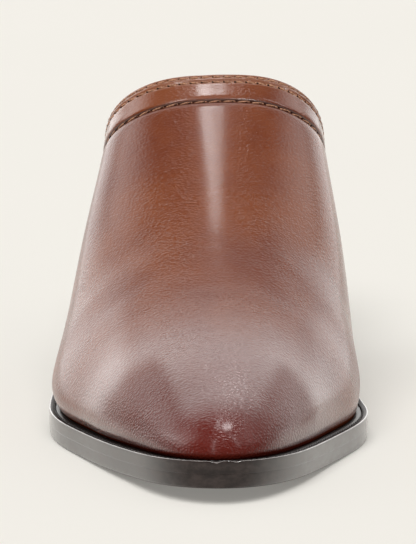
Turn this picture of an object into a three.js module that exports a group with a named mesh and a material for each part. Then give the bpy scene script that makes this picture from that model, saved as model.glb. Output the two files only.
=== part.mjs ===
// A woman's pointed-toe leather mule on a stacked block heel, for the right foot, about EU 38.5.
// Millimetres. The toe points along -Y, the medial side is +X, +Z is up and the floor is z = 0.
// The origin is on the floor, under the middle of the sole's length and width.
import * as THREE from 'three';
import { mergeVertices } from 'three/addons/utils/BufferGeometryUtils.js';

// Driving sizes
const shoeLength = 262; // sole tip to heel back
const ballWidth = 86; // sole edge to sole edge across the ball
const outsoleThickness = 3.5;
const midsoleThickness = 3.2;
const insoleThickness = 3.5;
const edgeBevel = 0.5; // on the sole's and the insole's outer corners
const jointBevel = 0.12; // where two layers of the sole meet
const toeSpring = 4.5; // height of the sole tip over the floor
const springRun = 72; // sole tip to where the forepart meets the floor
const treadRun = 16; // length of the flat spot under the ball
const heelHeight = 54; // floor to the outsole's underside, at the back
const heelLength = 54; // breast to heel back
const seatPitch = 7; // degrees that the heel seat rises towards the back
const liftThickness = 6;
const heelInset = 0.6; // sole edge to heel wall, at the top
const heelSideTaper = 3.2; // each side, from top to bottom
const heelBackTaper = 5;
const heelFlare = 0.8; // under 1, the heel draws in sooner near the sole
const breastHollow = 4; // depth of the breast's curve
const ledgeWidth = 3.3; // stitched margin of the midsole outside the upper, at the toe and the ball
const ledgeBehind = 1.6; // the same margin at the waist
const wallThickness = 2.4; // vamp leather and lining
const instepHeight = 69; // midsole to the top of the throat
const throatStation = 136; // sole tip to the throat
const collarEnd = 190; // sole tip to where the collar meets the sole
const bandWidth = 8.2; // collar band, across
const bandThickness = 1.2;
const bandRecess = 0.6; // step in the vamp that the band lies in
const seatMargin = 1.6; // insole edge to sole edge, round the heel seat
const flareRun = 24; // length over which the insole widens behind the upper
const gap = 0.3; // between pieces that meet

// Plan of the sole. Shares of shoeLength along it, and of ballWidth out to each side of the shoe's axis.
const planRows = [
  { along: 0, lateral: -0.025, medial: 0.025 },
  { along: 0.038, lateral: 0.154, medial: 0.197 },
  { along: 0.092, lateral: 0.243, medial: 0.285 },
  { along: 0.156, lateral: 0.334, medial: 0.359 },
  { along: 0.214, lateral: 0.409, medial: 0.427 },
  { along: 0.275, lateral: 0.481, medial: 0.488 },
  { along: 0.336, lateral: 0.508, medial: 0.495 },
  { along: 0.397, lateral: 0.496, medial: 0.456 },
  { along: 0.466, lateral: 0.456, medial: 0.397 },
  { along: 0.553, lateral: 0.395, medial: 0.333 },
  { along: 0.649, lateral: 0.356, medial: 0.316 },
  { along: 0.744, lateral: 0.341, medial: 0.335 },
  { along: 0.84, lateral: 0.337, medial: 0.351 },
  { along: 0.916, lateral: 0.306, medial: 0.326 },
  { along: 0.973, lateral: 0.193, medial: 0.212 },
  { along: 1, lateral: -0.009, medial: 0.009 },
];

// Sections of the last. along is a share of shoeLength, crest the ridge's height over the midsole as a share
// of instepHeight, aside the ridge's place and swell the side's swell past the feather line as shares of
// ballWidth, and square the section's roundness, 2 for an ellipse.
const lastRows = [
  { along: 0, crest: 0.1, aside: 0.046, swellLateral: 0.008, swellMedial: 0.008, square: 2.45 },
  { along: 0.053, crest: 0.176, aside: 0.042, swellLateral: 0.008, swellMedial: 0.008, square: 2.4 },
  { along: 0.115, crest: 0.293, aside: 0.039, swellLateral: 0.021, swellMedial: 0.008, square: 2.25 },
  { along: 0.191, crest: 0.406, aside: 0.036, swellLateral: 0.038, swellMedial: 0.009, square: 2.1 },
  { along: 0.275, crest: 0.537, aside: 0.033, swellLateral: 0.046, swellMedial: 0.015, square: 2.02 },
  { along: 0.344, crest: 0.689, aside: 0.031, swellLateral: 0.033, swellMedial: 0.029, square: 2.05 },
  { along: 0.401, crest: 0.812, aside: 0.028, swellLateral: 0.021, swellMedial: 0.057, square: 2.26 },
  { along: 0.458, crest: 0.917, aside: 0.025, swellLateral: 0.018, swellMedial: 0.089, square: 2.65 },
  { along: 0.519, crest: 0.987, aside: 0.023, swellLateral: 0.008, swellMedial: 0.101, square: 3.05 },
  { along: 0.611, crest: 1.03, aside: 0.025, swellLateral: -0.008, swellMedial: 0.081, square: 3.1 },
  { along: 0.725, crest: 1.05, aside: 0.029, swellLateral: -0.018, swellMedial: 0.054, square: 3 },
];
const tuckShare = 0.22; // share of the section's height over which the side tucks in to the feather line
const toeRidge = 0.053; // share of shoeLength from the sole tip to where the ridge starts
const ridgeJoin = 0.3; // share of shoeLength over which the toe's sections lean back to the ridge
const ledgeFrom = 0.4; // shares of shoeLength between which the ledge narrows
const ledgeTo = 0.7;

// Collar line. turn runs from the feather line, 0, to the ridge, 1, and reach from the throat, 0, to collarEnd, 1.
const collarRows = [
  { turn: 0, reach: 1 },
  { turn: 0.1, reach: 0.77 },
  { turn: 0.2, reach: 0.57 },
  { turn: 0.35, reach: 0.3 },
  { turn: 0.5, reach: 0.11 },
  { turn: 0.75, reach: 0.004 },
  { turn: 1, reach: 0 },
];

// Colours as in the finished shoe, sRGB
const materials = {
  vamp: new THREE.MeshStandardMaterial({ color: 0x8a4a2c, roughness: 0.35, metalness: 0 }),
  band: new THREE.MeshStandardMaterial({ color: 0x8c4c2e, roughness: 0.35, metalness: 0 }),
  sole: new THREE.MeshStandardMaterial({ color: 0x2c2624, roughness: 0.45, metalness: 0 }),
  heel: new THREE.MeshStandardMaterial({ color: 0x2c2624, roughness: 0.45, metalness: 0 }),
  rubber: new THREE.MeshStandardMaterial({ color: 0x1c1b1b, roughness: 0.7, metalness: 0 }),
  sock: new THREE.MeshStandardMaterial({ color: 0xa9764f, roughness: 0.6, metalness: 0 }),
};

// A curve through the points, smooth in slope and bend, and straight at its ends.
function smoothCurve(xs, ys) {
  const last = xs.length - 1;
  const bend = new Array(last + 1).fill(0);
  const carry = new Array(last + 1).fill(0);
  for (let i = 1; i < last; i++) {
    const before = xs[i] - xs[i - 1];
    const after = xs[i + 1] - xs[i];
    const share = before / (before + after);
    const pivot = share * bend[i - 1] + 2;
    const turn = (ys[i + 1] - ys[i]) / after - (ys[i] - ys[i - 1]) / before;
    bend[i] = (share - 1) / pivot;
    carry[i] = ((6 * turn) / (before + after) - share * carry[i - 1]) / pivot;
  }
  for (let i = last - 1; i >= 0; i--) bend[i] = bend[i] * bend[i + 1] + carry[i];
  return (x) => {
    let i = 0;
    while (i < last - 1 && x > xs[i + 1]) i++;
    const step = xs[i + 1] - xs[i];
    const a = (xs[i + 1] - x) / step;
    const b = (x - xs[i]) / step;
    const bow = ((a ** 3 - a) * bend[i] + (b ** 3 - b) * bend[i + 1]) * step ** 2;
    return a * ys[i] + b * ys[i + 1] + bow / 6;
  };
}

const column = (rows, key, name, scale = 1) =>
  smoothCurve(
    rows.map((row) => row[key]),
    rows.map((row) => row[name] * scale),
  );

const blend = (from, to, at) => {
  const share = THREE.MathUtils.clamp((at - from) / (to - from), 0, 1);
  return share * share * (3 - 2 * share);
};

// Side view of the sole
const treadStart = springRun;
const treadEnd = springRun + treadRun;
const breastStation = shoeLength - heelLength;
const seatSlope = Math.tan(THREE.MathUtils.degToRad(seatPitch));
const breastHeight = heelHeight - heelLength * seatSlope;
const midsoleBottom = outsoleThickness + gap;
const midsoleTop = midsoleBottom + midsoleThickness;

function underside(station) {
  if (station < treadStart) return toeSpring * ((treadStart - station) / springRun) ** 2;
  if (station <= treadEnd) return 0;
  if (station >= breastStation) return breastHeight + (station - breastStation) * seatSlope;
  const run = breastStation - treadEnd;
  const share = (station - treadEnd) / run;
  const rise = breastHeight * (3 * share ** 2 - 2 * share ** 3);
  return rise + seatSlope * run * (share ** 3 - share ** 2);
}

// Height of a layer that lies this far over the outsole's underside, measured square to the sole
function level(station, above) {
  const half = 0.5;
  const slope = (underside(station + half) - underside(station - half)) / (2 * half);
  return underside(station) + above * Math.hypot(1, slope);
}

// Plan of the sole, by an angle that is 0 at the toe tip and half a turn at the heel back, negative on the
// lateral side
const stationOf = (angle) => (shoeLength / 2) * (1 - Math.cos(angle));
const angleOf = (station) => Math.acos(1 - (2 * station) / shoeLength);

const planAcross = (() => {
  const angles = planRows.map((row) => Math.acos(1 - 2 * row.along));
  const medial = planRows.map((row, i) => [angles[i], row.medial * ballWidth]);
  const lateral = planRows.map((row, i) => [-angles[i], -row.lateral * ballWidth]);
  const round = [...lateral.slice(1).reverse(), ...medial];
  const turn = 2 * Math.PI;
  const overlap = 3;
  const before = round.slice(-1 - overlap, -1).map(([a, x]) => [a - turn, x]);
  const after = round.slice(1, 1 + overlap).map(([a, x]) => [a + turn, x]);
  const points = [...before, ...round, ...after];
  return smoothCurve(
    points.map(([a]) => a),
    points.map(([, x]) => x),
  );
})();

// A point of the plan, moved inwards square to the edge
function planPoint(angle, inset) {
  const step = 1e-3;
  const across = planAcross(angle + step) - planAcross(angle - step);
  const along = stationOf(angle + step) - stationOf(angle - step);
  const length = Math.hypot(across, along);
  return {
    across: planAcross(angle) - (inset * along) / length,
    station: stationOf(angle) + (inset * across) / length,
    outAcross: along / length,
    outAlong: -across / length,
  };
}

const axisShift = (() => {
  const samples = Array.from({ length: 361 }, (_, i) => planAcross(-Math.PI + (i * Math.PI) / 180));
  return (Math.max(...samples) + Math.min(...samples)) / 2;
})();
const place = (across, station, height) => [across - axisShift, station - shoeLength / 2, height];

// Turns rows of points into one closed mesh: equal points are joined and flattened triangles dropped
function closedMesh(name, material, points, faces) {
  const raw = new THREE.BufferGeometry();
  raw.setAttribute('position', new THREE.Float32BufferAttribute(points.flat(), 3));
  raw.setIndex(faces.flat());
  const geometry = mergeVertices(raw, 1e-4);
  const index = geometry.index.array;
  const kept = [];
  for (let i = 0; i < index.length; i += 3) {
    const [a, b, c] = [index[i], index[i + 1], index[i + 2]];
    if (a !== b && b !== c && c !== a) kept.push(a, b, c);
  }
  geometry.setIndex(kept);
  geometry.computeVertexNormals();
  const mesh = new THREE.Mesh(geometry, material);
  mesh.name = name;
  return mesh;
}

// Two triangles for each cell between rows of points; closed joins each row's end to its start
function skin(rows, columns, closed, offset = 0, flip = false) {
  const faces = [];
  const cells = closed ? columns : columns - 1;
  for (let i = 0; i < rows - 1; i++) {
    for (let j = 0; j < cells; j++) {
      const a = offset + i * columns + j;
      const b = offset + i * columns + ((j + 1) % columns);
      const [c, d] = [a + columns, b + columns];
      faces.push(...(flip ? [[a, c, b], [b, c, d]] : [[a, b, c], [b, d, c]]));
    }
  }
  return faces;
}

// Stations of a lofted layer, with rows on the ends of the tread and at the heel breast
function layerAngles() {
  const stops = [0, treadStart, treadEnd, breastStation, shoeLength].map(angleOf);
  const counts = [16, 3, 14, 10];
  const angles = [0];
  counts.forEach((count, i) => {
    for (let k = 1; k <= count; k++) angles.push(stops[i] + ((stops[i + 1] - stops[i]) * k) / count);
  });
  return angles;
}

// A layer of the sole between two heights over the underside, its corners bevelled below, above or both
function soleLayer(name, material, { bottom, top, inset, bevelBelow, bevelAbove }) {
  const points = [];
  const angles = layerAngles();
  for (const angle of angles) {
    const edge = (side, extra, above) => {
      const at = planPoint(side * angle, 0);
      const depth = inset(at.station, side) + extra;
      const [across, station] = [at.across - at.outAcross * depth, at.station - at.outAlong * depth];
      return place(across, station, level(station, above));
    };
    points.push(
      edge(-1, bevelBelow, bottom),
      edge(1, bevelBelow, bottom),
      edge(1, 0, bottom + bevelBelow),
      edge(1, 0, top - bevelAbove),
      edge(1, bevelAbove, top),
      edge(-1, bevelAbove, top),
      edge(-1, 0, top - bevelAbove),
      edge(-1, 0, bottom + bevelBelow),
    );
  }
  return closedMesh(name, material, points, skin(angles.length, 8, true, 0, true));
}

// Upper
const crestShare = column(lastRows, 'along', 'crest', instepHeight);
const ridgeAside = column(lastRows, 'along', 'aside', ballWidth);
const squareness = column(lastRows, 'along', 'square');
const swell = {
  '-1': column(lastRows, 'along', 'swellLateral', ballWidth),
  1: column(lastRows, 'along', 'swellMedial', ballWidth),
};
const collarReach = column(collarRows, 'turn', 'reach');
const collarStation = (turn) => throatStation + (collarEnd - throatStation) * collarReach(turn);

const ledge = (station) =>
  ledgeWidth + (ledgeBehind - ledgeWidth) * blend(ledgeFrom * shoeLength, ledgeTo * shoeLength, station);

// The last's surface: station along the sole, turn from the feather line, 0, up to the ridge, 1
function lastPoint(station, turn, side) {
  const foot = planPoint(side * angleOf(station), ledge(station));
  const join = ridgeJoin * shoeLength;
  const lean = toeRidge * shoeLength * Math.max(0, 1 - station / join) ** 2;
  const ridgeAt = station + lean;
  const share = ridgeAt / shoeLength;
  const power = squareness(share);
  const angle = (turn * Math.PI) / 2;
  const radius = (Math.cos(angle) ** power + Math.sin(angle) ** power) ** (1 / power);
  const outwards = Math.max(0, Math.cos(angle)) / radius;
  const upwards = Math.sin(angle) / radius;
  const swelling = swell[side](share);
  const tuck = swelling * Math.max(0, 1 - upwards / tuckShare) ** 2;
  const sideAcross = foot.across + foot.outAcross * swelling;
  const sideAlong = foot.station + foot.outAlong * swelling;
  const ridgeAcross = ridgeAside(share);
  const along = ridgeAt + (sideAlong - ridgeAt) * outwards - foot.outAlong * tuck;
  const base = level(foot.station, midsoleTop + gap);
  const crest = level(along, midsoleTop) + crestShare(along / shoeLength);
  return place(
    ridgeAcross + (sideAcross - ridgeAcross) * outwards - foot.outAcross * tuck,
    along,
    base + (crest - base) * upwards,
  );
}

// Station of the point that lies this far in front of the collar line, measured over the last, at one turn
function stationInside(turn, side, width) {
  const at = collarStation(turn);
  const step = 0.02;
  const [low, high] = [Math.max(0, turn - step), Math.min(1, turn + step)];
  const vector = (from, to) => new THREE.Vector3(...to).sub(new THREE.Vector3(...from)).normalize();
  const line = vector(lastPoint(collarStation(low), low, side), lastPoint(collarStation(high), high, side));
  const alongLast = vector(lastPoint(at - 1, turn, side), lastPoint(at, turn, side));
  return at - width / line.cross(alongLast).length();
}

// Rows of points on the last from one line across it to another, both sides in one row: lateral feather
// line, over the ridge, medial feather line
const turnCount = 14;
const vampRows = 26;
const bandRows = 4;
function lastGrid(count, from, to) {
  const rows = [];
  for (let i = 0; i <= count; i++) {
    const row = [];
    for (let j = -turnCount; j <= turnCount; j++) {
      const side = j < 0 ? -1 : 1;
      const turn = 1 - Math.abs(j) / turnCount;
      const [start, end] = [angleOf(from(turn, side)), angleOf(to(turn, side))];
      const station = stationOf(start + ((end - start) * i) / count);
      row.push(lastPoint(station, turn, side));
    }
    rows.push(row);
  }
  return rows;
}

// Outward normals of the last at each point of a grid that starts at the toe tip or behind it
function gridNormals(rows) {
  const columns = rows[0].length;
  const raw = new THREE.BufferGeometry();
  raw.setAttribute('position', new THREE.Float32BufferAttribute(rows.flat(2), 3));
  raw.setIndex(skin(rows.length, columns, false).flat());
  raw.computeVertexNormals();
  const found = raw.getAttribute('normal');
  const normals = rows.map((row, i) => row.map((_, j) => {
    const k = i * columns + j;
    return new THREE.Vector3(found.getX(k), found.getY(k), found.getZ(k));
  }));
  const same = (a, b) => Math.hypot(a[0] - b[0], a[1] - b[1], a[2] - b[2]) < 1e-3;
  rows[0].forEach((point, j) => {
    const twin = columns - 1 - j;
    if (j < twin && same(point, rows[0][twin])) {
      const mean = normals[0][j].clone().add(normals[0][twin]).normalize();
      normals[0][j] = mean;
      normals[0][twin] = mean;
    }
  });
  return normals;
}

const offsetRow = (row, normals, by) =>
  row.map((point, j) => normals[j].clone().multiplyScalar(by).add(new THREE.Vector3(...point)).toArray());

// Puts both ends of a row on the midsole
function footOnSole(row) {
  for (const end of [row[0], row[row.length - 1]]) {
    end[2] = level(end[1] + shoeLength / 2, midsoleTop + gap);
  }
  return row;
}

// Joins an outer and an inner skin into one wall. innerOf gives the inner row behind each outer row, and the
// first row is closed too where it is an edge.
function wallBetween(name, material, outer, inner, innerOf, firstIsEdge) {
  const columns = outer[0].length;
  const end = columns - 1;
  const inside = outer.length * columns;
  const innerRow = (i) => inside + innerOf(i) * columns;
  const faces = [
    ...skin(outer.length, columns, false),
    ...skin(inner.length, columns, false, inside, true),
  ];
  const bridge = (a, b, c, d) => faces.push([a, b, c], [b, d, c]);
  const last = outer.length - 1;
  for (let j = 0; j < end; j++) {
    bridge(last * columns + j, last * columns + j + 1, innerRow(last) + j, innerRow(last) + j + 1);
    if (firstIsEdge) bridge(j + 1, j, innerRow(0) + j + 1, innerRow(0) + j);
  }
  for (let i = 0; i < last; i++) {
    const [a, b] = [i * columns, (i + 1) * columns];
    const [c, d] = [innerRow(i), innerRow(i + 1)];
    bridge(a, b, c, d);
    bridge(b + end, a + end, d + end, c + end);
  }
  return closedMesh(name, material, [...outer, ...inner].flat(), faces);
}

// The vamp: its wall steps down by bandRecess under the collar band
function buildUpper() {
  const stepLine = (turn, side) => stationInside(turn, side, bandWidth + gap);
  const front = lastGrid(vampRows, () => 0, stepLine);
  const back = lastGrid(bandRows, stepLine, (turn) => collarStation(turn));
  const base = [...front, ...back.slice(1)];
  const normals = gridNormals(base);
  const step = front.length - 1;
  const outer = [
    ...base.slice(0, step + 1).map((row) => row.map((point) => [...point])),
    ...base.slice(step).map((row, i) => offsetRow(row, normals[step + i], -bandRecess)),
  ].map(footOnSole);
  const inner = base.map((row, i) => footOnSole(offsetRow(row, normals[i], -wallThickness)));
  return wallBetween('upper', materials.vamp, outer, inner, (i) => (i <= step ? i : i - 1), false);
}

function buildCollarBand() {
  const front = (turn, side) => stationInside(turn, side, bandWidth);
  const base = lastGrid(bandRows, front, (turn) => collarStation(turn));
  const normals = gridNormals(base);
  const inset = gap - bandRecess;
  const outer = base.map((row, i) => footOnSole(offsetRow(row, normals[i], inset + bandThickness)));
  const inner = base.map((row, i) => footOnSole(offsetRow(row, normals[i], inset)));
  return wallBetween('collar_band', materials.band, outer, inner, (i) => i, true);
}

// Heel: the seat's outline from corner to corner round the back, closed by a hollow breast
const roundCount = 28;
const breastCount = 8;
function heelOutline() {
  const corner = angleOf(breastStation);
  const outline = [];
  for (let i = 0; i <= roundCount; i++) {
    outline.push(planPoint(corner + ((2 * Math.PI - 2 * corner) * i) / roundCount, heelInset));
  }
  const [first, last] = [outline[0], outline[roundCount]];
  for (let i = 1; i < breastCount; i++) {
    const share = i / breastCount;
    outline.push({
      across: last.across + (first.across - last.across) * share,
      station: last.station + (first.station - last.station) * share + breastHollow * Math.sin(Math.PI * share),
    });
  }
  return outline;
}

// The heel's outline drawn in towards its foot. down is 0 under the sole and 1 at the floor.
function heelRing(outline, down) {
  const middle = (outline[0].across + outline[roundCount].across) / 2;
  const widest = Math.max(...outline.map((at) => Math.abs(at.across - middle)));
  const easing = down ** heelFlare;
  return outline.map((at) => ({
    across: middle + (at.across - middle) * (1 - (heelSideTaper / widest) * easing),
    station: breastStation + (at.station - breastStation) * (1 - (heelBackTaper / heelLength) * easing),
  }));
}

// Rings of points, lowest first, closed by a fan below and above
function stackedRings(name, material, rings) {
  const count = rings[0].length;
  const points = rings.flat();
  const faces = skin(rings.length, count, true, 0, false);
  const fan = (ring, start, flip) => {
    const middle = ring.reduce((sum, p) => sum.map((v, k) => v + p[k] / count), [0, 0, 0]);
    const hub = points.push(middle) - 1;
    for (let j = 0; j < count; j++) {
      const [a, b] = [start + j, start + ((j + 1) % count)];
      faces.push(flip ? [hub, b, a] : [hub, a, b]);
    }
  };
  fan(rings[0], 0, true);
  fan(rings[rings.length - 1], (rings.length - 1) * count, false);
  return closedMesh(name, material, points, faces);
}

function buildHeelBlock() {
  const outline = heelOutline();
  const levels = 7;
  const foot = liftThickness + gap;
  const rings = [];
  for (let i = 0; i <= levels; i++) {
    const up = i / levels;
    rings.push(heelRing(outline, 1 - up).map(({ across, station }, k) => {
      const top = underside(outline[k].station) - gap * Math.hypot(1, seatSlope);
      return place(across, station, foot + (top - foot) * up);
    }));
  }
  return stackedRings('heel_block', materials.heel, rings);
}

function buildTopLift() {
  const ring = heelRing(heelOutline(), 1);
  return stackedRings('top_lift', materials.rubber, [
    ring.map(({ across, station }) => place(across, station, 0)),
    ring.map(({ across, station }) => place(across, station, liftThickness)),
  ]);
}

// How far the last leans in over its foot line by the insole's top
function leanOverInsole(station, side) {
  const at = Math.min(station, collarEnd);
  const foot = lastPoint(at, 0, side);
  let [low, high] = [0, 0.5];
  for (let i = 0; i < 20; i++) {
    const middle = (low + high) / 2;
    if (lastPoint(at, middle, side)[2] - foot[2] < insoleThickness + gap) low = middle;
    else high = middle;
  }
  const over = lastPoint(at, low, side);
  const { outAcross, outAlong } = planPoint(side * angleOf(at), 0);
  return Math.max(0, (foot[0] - over[0]) * outAcross + (foot[1] - over[1]) * outAlong);
}

// Inside the upper the insole stops short of its wall, and behind it reaches out to the seat margin
function insoleInset(station, side) {
  const lean = leanOverInsole(station, side);
  const wall = wallThickness * Math.hypot(1, lean / insoleThickness);
  const inUpper = ledge(station) + lean + wall + gap;
  return inUpper + (seatMargin - inUpper) * blend(collarEnd + gap, collarEnd + flareRun, station);
}

const shoe = new THREE.Group();
shoe.add(
  soleLayer('outsole', materials.sole, {
    bottom: 0,
    top: outsoleThickness,
    inset: () => 0,
    bevelBelow: edgeBevel,
    bevelAbove: jointBevel,
  }),
  soleLayer('midsole', materials.sole, {
    bottom: midsoleBottom,
    top: midsoleTop,
    inset: () => 0,
    bevelBelow: jointBevel,
    bevelAbove: edgeBevel,
  }),
  soleLayer('insole', materials.sock, {
    bottom: midsoleTop + gap,
    top: midsoleTop + gap + insoleThickness,
    inset: insoleInset,
    bevelBelow: jointBevel,
    bevelAbove: edgeBevel,
  }),
  buildUpper(),
  buildCollarBand(),
  buildHeelBlock(),
  buildTopLift(),
);

export default shoe;
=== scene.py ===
"""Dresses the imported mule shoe: leather upper, stitched collar, waxed sole, stacked heel and a pale stage."""
import functools
import math

import bmesh
import bpy
import numpy as np
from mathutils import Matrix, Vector


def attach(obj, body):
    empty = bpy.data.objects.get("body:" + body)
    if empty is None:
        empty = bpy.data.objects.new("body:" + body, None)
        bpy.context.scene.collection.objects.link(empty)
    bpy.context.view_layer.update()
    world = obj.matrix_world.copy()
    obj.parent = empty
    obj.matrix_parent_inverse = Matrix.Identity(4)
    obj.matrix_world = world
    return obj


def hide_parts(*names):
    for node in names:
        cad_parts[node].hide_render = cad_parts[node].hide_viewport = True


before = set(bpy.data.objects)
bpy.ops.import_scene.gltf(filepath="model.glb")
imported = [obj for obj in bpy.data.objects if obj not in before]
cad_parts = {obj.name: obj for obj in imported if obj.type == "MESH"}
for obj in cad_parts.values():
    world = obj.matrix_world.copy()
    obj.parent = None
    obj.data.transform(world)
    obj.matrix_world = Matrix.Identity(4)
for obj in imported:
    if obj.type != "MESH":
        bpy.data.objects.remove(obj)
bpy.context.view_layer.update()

bl_info = {
    "name": "Mule shoe",
    "version": (1, 0, 0),
    "blender": (4, 5, 0),
    "location": "3D View > Sidebar > Mule",
    "description": "Makes the leather, stitches, sole and heel of a mule round its packed model",
    "category": "Object",
}

BODY = "root"
MM = 0.001

# The shoe's own sizes in millimetres, as its solids have them. Stations run from the sole tip backwards.
SHOE_LENGTH = 262
BALL_WIDTH = 86
OUTSOLE = 3.5
MIDSOLE = 3.2
INSOLE = 3.5
TOE_SPRING = 4.5
SPRING_RUN = 72
TREAD_RUN = 16
HEEL_HEIGHT = 54
HEEL_LENGTH = 54
SEAT_PITCH = 7
LIFT = 6
HEEL_INSET = 0.6
HEEL_SIDE_TAPER = 3.2
HEEL_BACK_TAPER = 5
HEEL_FLARE = 0.8
BREAST_HOLLOW = 4
LEDGE = 3.3
LEDGE_BEHIND = 1.6
WALL = 2.4
INSTEP = 69
THROAT = 136
COLLAR_END = 190
SEAT_MARGIN = 1.6
FLARE_RUN = 24
TUCK_SHARE = 0.22
TOE_RIDGE = 0.053
RIDGE_JOIN = 0.3
LEDGE_FROM = 0.4
LEDGE_TO = 0.7

# Front of the toe in metres, where the polish is thin
TOE_FRONT = (0.0067, -0.1252, 0.0158)


def table(names, *rows):
    """Rows of numbers with their columns' names."""
    return [dict(zip(names.split(), row)) for row in rows]


# Plan of the sole: shares of the length along it, and of the ball width to each side
PLAN = table(
    "along lateral medial",
    (0, -0.025, 0.025),
    (0.038, 0.154, 0.197),
    (0.092, 0.243, 0.285),
    (0.156, 0.334, 0.359),
    (0.214, 0.409, 0.427),
    (0.275, 0.481, 0.488),
    (0.336, 0.508, 0.495),
    (0.397, 0.496, 0.456),
    (0.466, 0.456, 0.397),
    (0.553, 0.395, 0.333),
    (0.649, 0.356, 0.316),
    (0.744, 0.341, 0.335),
    (0.84, 0.337, 0.351),
    (0.916, 0.306, 0.326),
    (0.973, 0.193, 0.212),
    (1, -0.009, 0.009),
)

# Sections of the last: crest as a share of the instep, aside and swells as shares of the ball width
LAST = table(
    "along crest aside lateral medial square",
    (0, 0.1, 0.046, 0.008, 0.008, 2.45),
    (0.053, 0.176, 0.042, 0.008, 0.008, 2.4),
    (0.115, 0.293, 0.039, 0.021, 0.008, 2.25),
    (0.191, 0.406, 0.036, 0.038, 0.009, 2.1),
    (0.275, 0.537, 0.033, 0.046, 0.015, 2.02),
    (0.344, 0.689, 0.031, 0.033, 0.029, 2.05),
    (0.401, 0.812, 0.028, 0.021, 0.057, 2.26),
    (0.458, 0.917, 0.025, 0.018, 0.089, 2.65),
    (0.519, 0.987, 0.023, 0.008, 0.101, 3.05),
    (0.611, 1.03, 0.025, -0.008, 0.081, 3.1),
    (0.725, 1.05, 0.029, -0.018, 0.054, 3),
)

# Collar line: turn from the feather line to the ridge, reach from the throat to the collar's end
COLLAR = table(
    "turn reach",
    (0, 1), (0.1, 0.77), (0.2, 0.57), (0.35, 0.3), (0.5, 0.11), (0.75, 0.004), (1, 0),
)

# Height of the vamp's leather over the last, by distance from the collar line: flat under the band,
# pinched by the seam and puffed in front of it
PUFF = table(
    "inside height",
    (0, -0.62), (6.0, -0.62), (7.2, -0.42), (8.0, -0.02), (9.0, 0.26), (10.9, 0.3), (14, 0.14),
    (19, 0.01), (30, 0),
)

# Section of the collar band, round from its lower edge over the outside and the rim to its underside
BAND_SECTION = table(
    "inside height",
    (7.15, -0.4), (7.4, -0.22), (7.44, 0.02), (7.3, 0.32), (6.98, 0.58), (6.5, 0.72), (5.7, 0.79),
    (4.6, 0.84), (3.7, 0.94), (3.15, 1.04), (2.85, 1.02), (2.6, 0.92), (2.38, 0.88), (2.15, 0.98),
    (1.9, 1.22), (1.65, 1.34), (1.42, 1.28), (1.18, 1.1), (0.96, 1.02), (0.75, 1.12), (0.5, 1.28),
    (0.26, 1.2), (0.1, 0.95), (0.01, 0.55), (0.0, 0.0), (0.04, -0.6), (0.3, -1.02), (0.9, -1.18),
    (1.7, -1.15), (2.4, -0.8), (3.2, -0.58), (5.5, -0.55), (6.8, -0.52),
)

# Edge of the lining at the rim
LINING_EDGE = table(
    "inside outer inner",
    (4.0, -1.4, -2.4),
    (2.0, -1.4, -2.42),
    (1.1, -1.42, -2.4),
    (0.7, -1.5, -2.3),
    (0.5, -1.7, -2.1),
)

# Soft troughs (below 0) and ridges of the vamp: station, place and half-length across, height, half-width
CREASES = table(
    "station across reach height width bow",
    (84, 6, 24, -0.05, 2.2, 5),
    (78, -8, 22, -0.06, 2.4, 4),
    (72, 9, 22, -0.06, 2.4, 4),
    (65, -3, 26, -0.05, 2.6, 3),
    (58, 7, 20, -0.04, 3.0, 3),
    (92, -25, 14, -0.22, 7.0, -4),
    (98, 28, 13, -0.3, 7.5, -4),
    (74, 31, 10, -0.2, 6.0, -3),
    (46, -22, 13, 0.2, 8.0, 3),
    (40, 24, 11, 0.18, 7.5, 3),
)


def smooth_curve(xs, ys):
    """A curve through the points, smooth in slope and bend, and straight at its ends."""
    xs, ys = np.array(xs, float), np.array(ys, float)
    last = len(xs) - 1
    bend, carry = np.zeros(last + 1), np.zeros(last + 1)
    for i in range(1, last):
        before, after = xs[i] - xs[i - 1], xs[i + 1] - xs[i]
        share = before / (before + after)
        pivot = share * bend[i - 1] + 2
        turn = (ys[i + 1] - ys[i]) / after - (ys[i] - ys[i - 1]) / before
        bend[i] = (share - 1) / pivot
        carry[i] = (6 * turn / (before + after) - share * carry[i - 1]) / pivot
    for i in range(last - 1, -1, -1):
        bend[i] = bend[i] * bend[i + 1] + carry[i]

    def at(x):
        x = np.asarray(x, float)
        i = np.searchsorted(xs[1:-1], x, side="left")
        step = xs[i + 1] - xs[i]
        a, b = (xs[i + 1] - x) / step, (x - xs[i]) / step
        bow = ((a**3 - a) * bend[i] + (b**3 - b) * bend[i + 1]) * step**2
        return a * ys[i] + b * ys[i + 1] + bow / 6

    return at


def column(rows, key, name, scale=1.0):
    return smooth_curve([row[key] for row in rows], [row[name] * scale for row in rows])


def ease(start, end, at):
    share = np.clip((np.asarray(at, float) - start) / (end - start), 0, 1)
    return share * share * (3 - 2 * share)


# Side view of the sole
TREAD_END = SPRING_RUN + TREAD_RUN
BREAST = SHOE_LENGTH - HEEL_LENGTH
WAIST_RUN = BREAST - TREAD_END
SEAT_SLOPE = math.tan(math.radians(SEAT_PITCH))
BREAST_HEIGHT = HEEL_HEIGHT - HEEL_LENGTH * SEAT_SLOPE
JOINT = OUTSOLE + 0.15
SOLE_TOP = OUTSOLE + 0.3 + MIDSOLE


def underside(station):
    station = np.asarray(station, float)
    front = TOE_SPRING * (np.maximum(0, SPRING_RUN - station) / SPRING_RUN) ** 2
    share = np.clip((station - TREAD_END) / WAIST_RUN, 0, 1)
    rise = BREAST_HEIGHT * (3 * share**2 - 2 * share**3)
    rise = rise + SEAT_SLOPE * WAIST_RUN * (share**3 - share**2)
    seat = BREAST_HEIGHT + (station - BREAST) * SEAT_SLOPE
    return np.where(station >= BREAST, seat, front + rise)


def level(station, above):
    """Height of a layer that lies this far over the outsole's underside, square to the sole."""
    slope = underside(np.asarray(station) + 0.5) - underside(np.asarray(station) - 0.5)
    return underside(station) + above * np.hypot(1, slope)


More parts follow.
